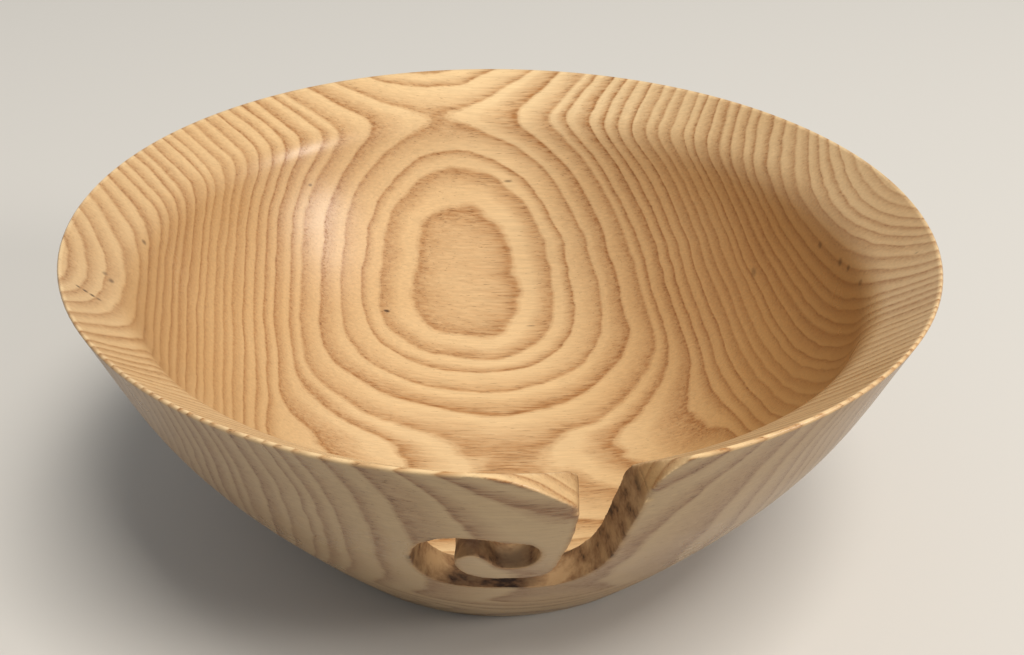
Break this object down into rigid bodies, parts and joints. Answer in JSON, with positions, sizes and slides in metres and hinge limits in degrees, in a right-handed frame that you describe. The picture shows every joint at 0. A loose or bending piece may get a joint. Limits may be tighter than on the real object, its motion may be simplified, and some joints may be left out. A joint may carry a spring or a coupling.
{
  "type": "yarn bowl",
  "caption": "Turned wooden bowl with a wide sloping rim band and a curled yarn slot cut through the front wall.",
  "frame": {"origin": "on the turning axis, at the level of the surface the foot stands on", "axes": "+Z is the turning axis, up out of the mouth of the bowl; -Y is the front, where the yarn slot is; +X is the bowl's right side when the slot is seen from the front"},
  "size_m": [0.22, 0.22, 0.088],
  "materials": {
    "ash": "pale ring-porous hardwood, sanded and oiled to a satin sheen"
  },
  "bodies": {
    "root": {"bowl": "ash"}
  },
  "joints": []
}
